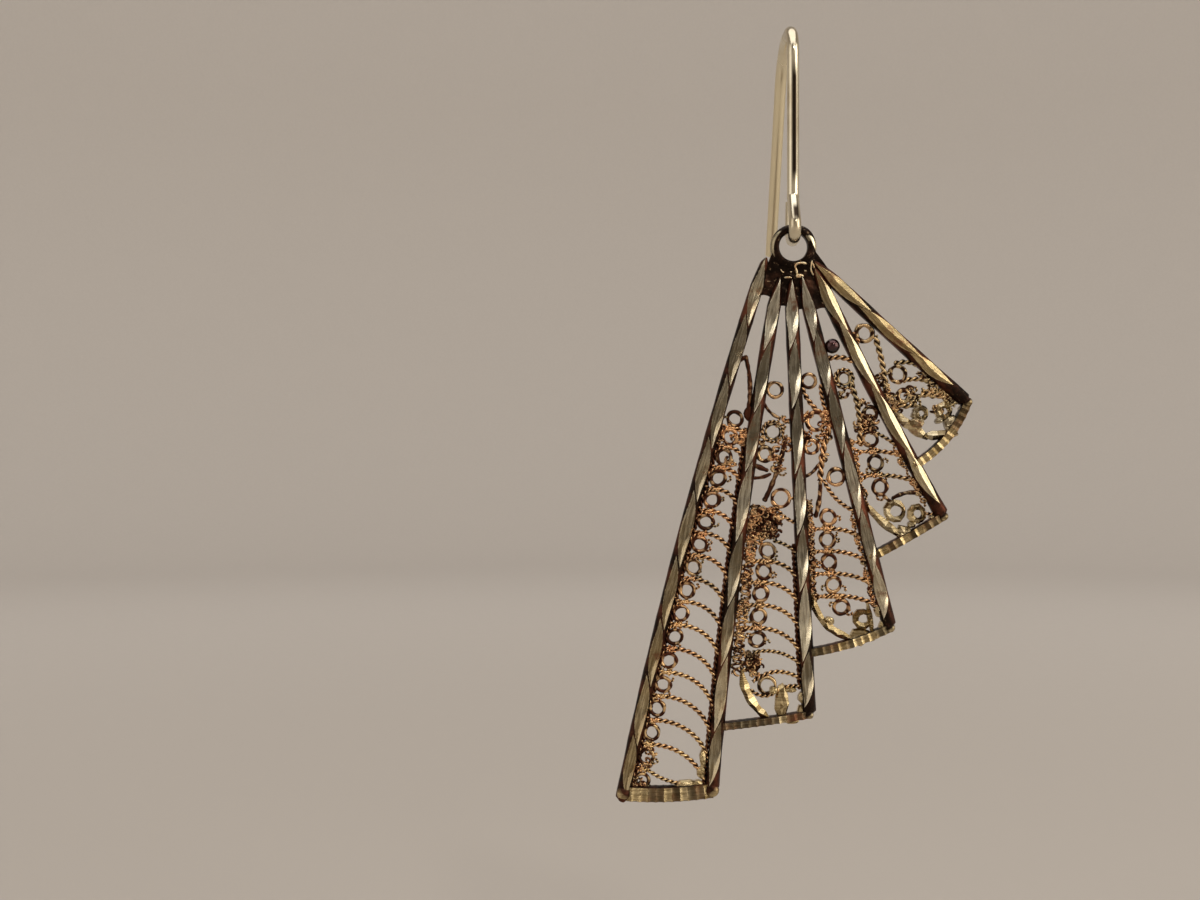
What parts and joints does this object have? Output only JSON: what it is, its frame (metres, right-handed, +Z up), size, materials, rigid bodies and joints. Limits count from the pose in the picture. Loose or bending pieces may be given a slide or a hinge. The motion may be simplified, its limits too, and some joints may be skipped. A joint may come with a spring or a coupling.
{
  "type": "fan earring",
  "caption": "Filigree fan earring: a soldered silver fan of cut ribs, ring columns and arched wires that hangs by its eye from a bent wire ear hook.",
  "frame": {"origin": "centre of the hook's wire at its crown, where the ear carries it", "axes": "+Z up, +X across the fan to the short ribs, -Y the fan's front"},
  "size_m": [0.0238, 0.0152, 0.0522],
  "materials": {
    "hook_wire": "polished silver wire, warm on the tail",
    "drop_silver": "tarnished silver with bright cut facets and coppery filigree"
  },
  "bodies": {
    "hook": {"ear_hook": "hook_wire"},
    "drop": {"fan_drop": "drop_silver"}
  },
  "joints": [
    {"name": "drop_swing", "type": "hinge", "parent": "hook", "child": "drop", "pos_m": [0, -0.0019, -0.01424], "axis": [0, 1, 0], "range_deg": [-75, 75]}
  ]
}
